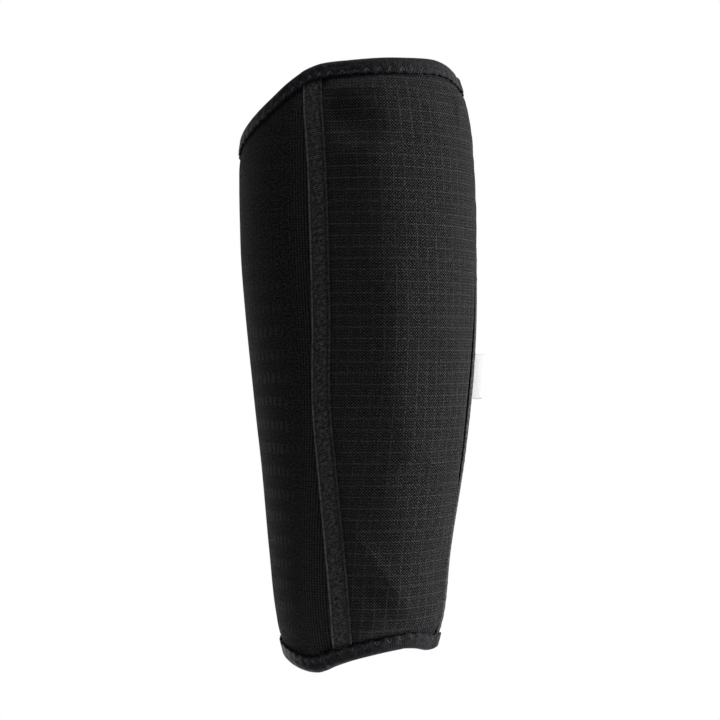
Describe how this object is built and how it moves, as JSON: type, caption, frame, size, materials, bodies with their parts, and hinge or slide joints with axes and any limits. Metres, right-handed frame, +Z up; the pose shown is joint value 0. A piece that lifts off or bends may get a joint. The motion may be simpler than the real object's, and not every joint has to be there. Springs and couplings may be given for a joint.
{
  "type": "shin pad",
  "caption": "Pull-on shin pad: padded ripstop front panel, stretch-knit calf panel, taped side seams, elastic bindings at both ends and a blank ribbon label.",
  "frame": {"origin": "on the axis of the leg that fills the sleeve, halfway up the pad", "axes": "+Z up the leg, -Y out of the shin, +X to the outer side of a left leg"},
  "size_m": [0.1193, 0.127, 0.3024],
  "materials": {
    "ripstop": "black ripstop weave with a fine square grid",
    "knit": "black ribbed and dimpled stretch knit",
    "webbing": "charcoal woven tape",
    "elastic": "smooth black folded elastic",
    "ribbon": "plain white woven ribbon"
  },
  "bodies": {
    "root": {"front_pad": "ripstop", "calf_panel": "knit", "inner_seam_tape": "webbing", "outer_seam_tape": "webbing", "top_binding": "elastic", "bottom_binding": "elastic", "side_label": "ribbon"}
  },
  "joints": []
}
